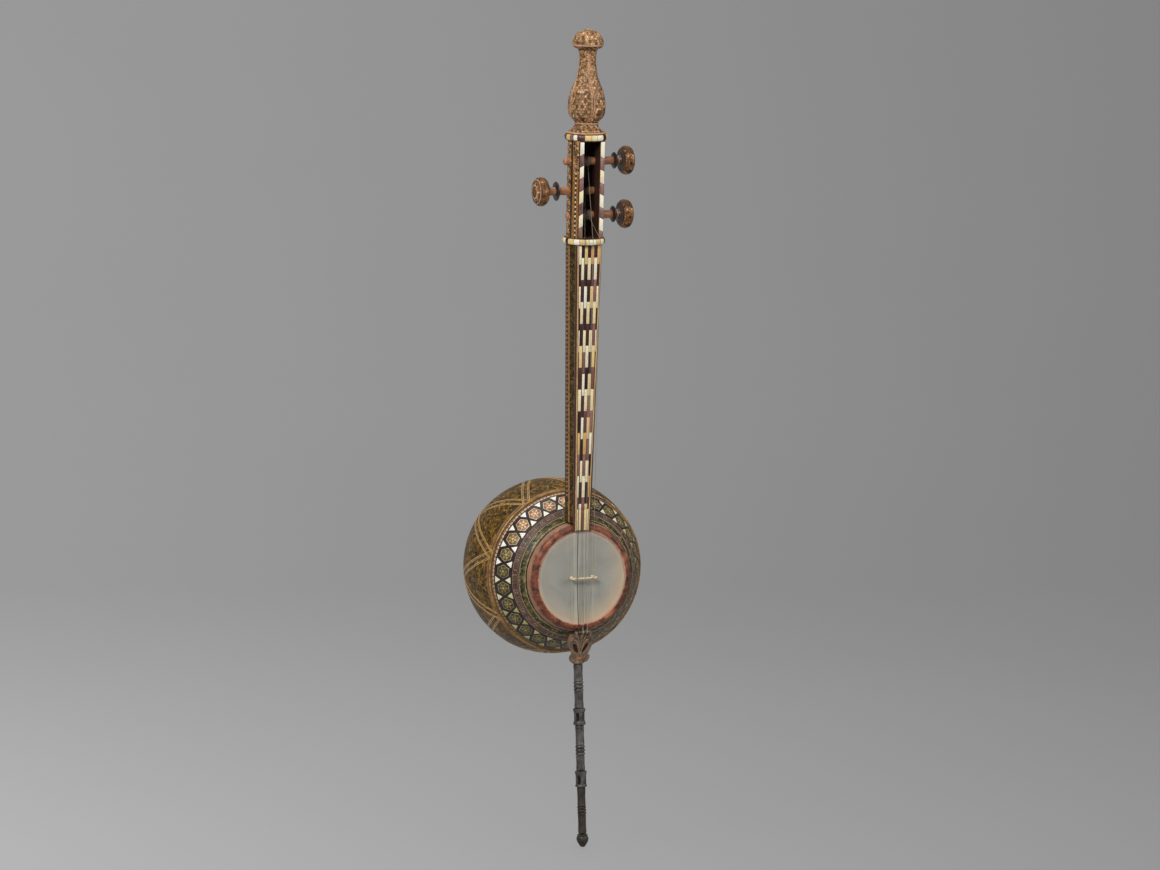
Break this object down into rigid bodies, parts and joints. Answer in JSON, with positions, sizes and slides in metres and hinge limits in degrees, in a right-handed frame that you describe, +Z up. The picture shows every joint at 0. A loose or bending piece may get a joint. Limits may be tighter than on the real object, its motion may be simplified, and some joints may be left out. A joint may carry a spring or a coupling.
{
  "type": "spike fiddle",
  "caption": "Bowed spike fiddle: round marquetry bowl with a parchment belly, unfretted neck, open pegbox with turning pegs, carved finial and iron spike.",
  "frame": {"origin": "foot of the spike, on the ground plane", "axes": "+Z up along the instrument, belly and fingerboard face -Y, +X to the right of a viewer facing the belly"},
  "size_m": [0.1972, 0.2233, 0.9],
  "materials": {
    "walnut": "oiled walnut",
    "khatam": "micro-mosaic marquetry of wood, brass and bone under an old varnish",
    "finial_khatam": "micro-mosaic marquetry, worn and warm",
    "gold_bead": "gilded and varnished wood moulding",
    "parchment": "stretched parchment, satin",
    "red_leather": "red-brown leather, worn",
    "bone": "polished bone",
    "fingerboard_inlay": "ivory-coloured bone strips set in dark purple-brown wood",
    "collar_inlay": "blocks of bone, ebony and gilt",
    "cheek_inlay": "slanted blocks of bone and pink-brown wood",
    "peg_wood": "reddish turned hardwood, satin",
    "ebony": "dark turned wood",
    "steel_string": "tarnished wire",
    "gut_string": "twisted gut",
    "rusty_iron": "rusty wrought iron",
    "iron": "dark wrought iron"
  },
  "bodies": {
    "root": {"bowl_core": "walnut", "rear_marquetry": "khatam", "belly_bead": "gold_bead", "rosette_band": "khatam", "block_band": "khatam", "mosaic_band": "khatam", "skin_membrane": "parchment", "leather_ring": "red_leather", "bridge": "bone", "neck_core": "khatam", "fingerboard": "fingerboard_inlay", "lower_collar": "collar_inlay", "pegbox": "khatam", "cheek_strip_left": "cheek_inlay", "cheek_strip_right": "cheek_inlay", "upper_collar": "collar_inlay", "finial_body": "finial_khatam", "finial_cap": "finial_khatam", "string_1": "steel_string", "string_2": "gut_string", "string_3": "gut_string", "string_knot_1": "gut_string", "string_knot_2": "gut_string", "string_knot_3": "gut_string", "tail_bracket": "rusty_iron", "hitch_pin": "iron", "spike_tip": "iron", "spike_lower_rod": "iron", "spike_middle_rod": "iron", "spike_upper_rod": "iron", "spike_cage_lower": "iron", "spike_cage_upper": "iron", "spike_tang": "iron", "inner_dowel": "walnut"},
    "peg_1": {"peg_1_shaft": "peg_wood", "peg_1_collar": "ebony", "peg_1_head": "finial_khatam", "peg_1_winding": "gut_string"},
    "peg_2": {"peg_2_shaft": "peg_wood", "peg_2_collar": "ebony", "peg_2_head": "finial_khatam", "peg_2_winding": "gut_string"},
    "peg_3": {"peg_3_shaft": "peg_wood", "peg_3_collar": "ebony", "peg_3_head": "finial_khatam", "peg_3_winding": "gut_string"}
  },
  "joints": [
    {"name": "peg_1_turn", "type": "hinge", "parent": "root", "child": "peg_1", "pos_m": [-0.0012, -0.01022, 0.75833], "axis": [1, 0, 0], "continuous": true},
    {"name": "peg_2_turn", "type": "hinge", "parent": "root", "child": "peg_2", "pos_m": [-0.0012, -0.00849, 0.72648], "axis": [1, 0, 0], "continuous": true},
    {"name": "peg_3_turn", "type": "hinge", "parent": "root", "child": "peg_3", "pos_m": [-0.0012, -0.00707, 0.70022], "axis": [1, 0, 0], "continuous": true}
  ]
}
